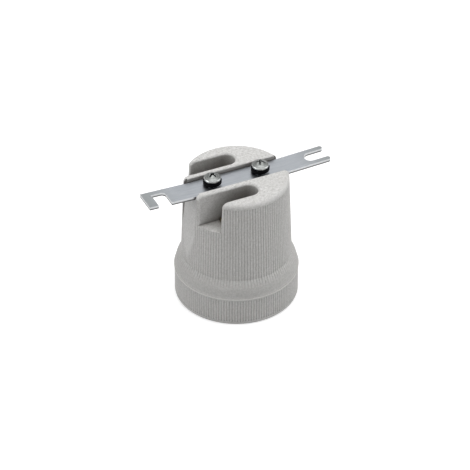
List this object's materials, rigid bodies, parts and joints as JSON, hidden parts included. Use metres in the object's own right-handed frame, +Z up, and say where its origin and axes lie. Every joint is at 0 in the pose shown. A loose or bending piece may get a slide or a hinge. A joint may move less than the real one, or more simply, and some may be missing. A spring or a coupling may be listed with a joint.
{
  "type": "screw-base ceramic lamp holder",
  "caption": "Ribbed porcelain lamp holder with a screw shell inside, wire channels in its top and a slotted steel bracket across it.",
  "frame": {"origin": "on the holder's axis, in the plane of the open rim that it stands on", "axes": "+Z up the axis to the bracket, +X along the bracket towards its forked end, wire channels open towards -X, live side towards -Y"},
  "size_m": [0.071, 0.0452, 0.0536],
  "materials": {
    "porcelain": "unglazed, fine grain",
    "zinc_strip": "zinc plated",
    "bright_zinc": "bright zinc plated",
    "black_steel": "black oxide",
    "nickel_shell": "nickel plated",
    "brass": "plain stamped"
  },
  "bodies": {
    "holder": {"porcelain_body": "porcelain", "mounting_bracket": "zinc_strip", "bracket_screw_hook_end": "bright_zinc", "bracket_screw_fork_end": "bright_zinc", "spring_washer_hook_end": "black_steel", "spring_washer_fork_end": "black_steel", "square_nut_hook_end": "bright_zinc", "square_nut_fork_end": "bright_zinc", "screw_shell": "nickel_shell", "live_terminal": "brass", "neutral_terminal": "brass", "contact_rivet": "brass", "shell_rivet": "brass"},
    "contact_leaf": {"centre_contact": "brass"},
    "live_clamp": {"live_clamp_washer": "bright_zinc"},
    "live_screw": {"live_clamp_screw": "bright_zinc"},
    "neutral_clamp": {"neutral_clamp_washer": "bright_zinc"},
    "neutral_screw": {"neutral_clamp_screw": "bright_zinc"}
  },
  "joints": [
    {"name": "contact_flex", "type": "hinge", "parent": "holder", "child": "contact_leaf", "pos_m": [0.0001, -0.0102, 0.03255], "axis": [1, 0, 0], "range_deg": [0, 5], "stiffness_Nm_per_rad": 0.5},
    {"name": "live_clamp_lift", "type": "slide", "parent": "holder", "child": "live_clamp", "axis": [0, 0, 1], "range_m": [0, 0.0025]},
    {"name": "live_screw_turn", "type": "hinge", "parent": "live_clamp", "child": "live_screw", "pos_m": [-0.0065, -0.0102, 0.0402], "axis": [0, 0, 1], "range_deg": [0, 1500]},
    {"name": "neutral_clamp_lift", "type": "slide", "parent": "holder", "child": "neutral_clamp", "axis": [0, 0, 1], "range_m": [0, 0.0025]},
    {"name": "neutral_screw_turn", "type": "hinge", "parent": "neutral_clamp", "child": "neutral_screw", "pos_m": [-0.006, 0.0102, 0.0402], "axis": [0, 0, 1], "range_deg": [0, 1500]}
  ],
  "couplings": [
    {"joint": "live_screw_turn", "follows": "live_clamp_lift", "rad_per_m": 10472},
    {"joint": "neutral_screw_turn", "follows": "neutral_clamp_lift", "rad_per_m": 10472}
  ]
}
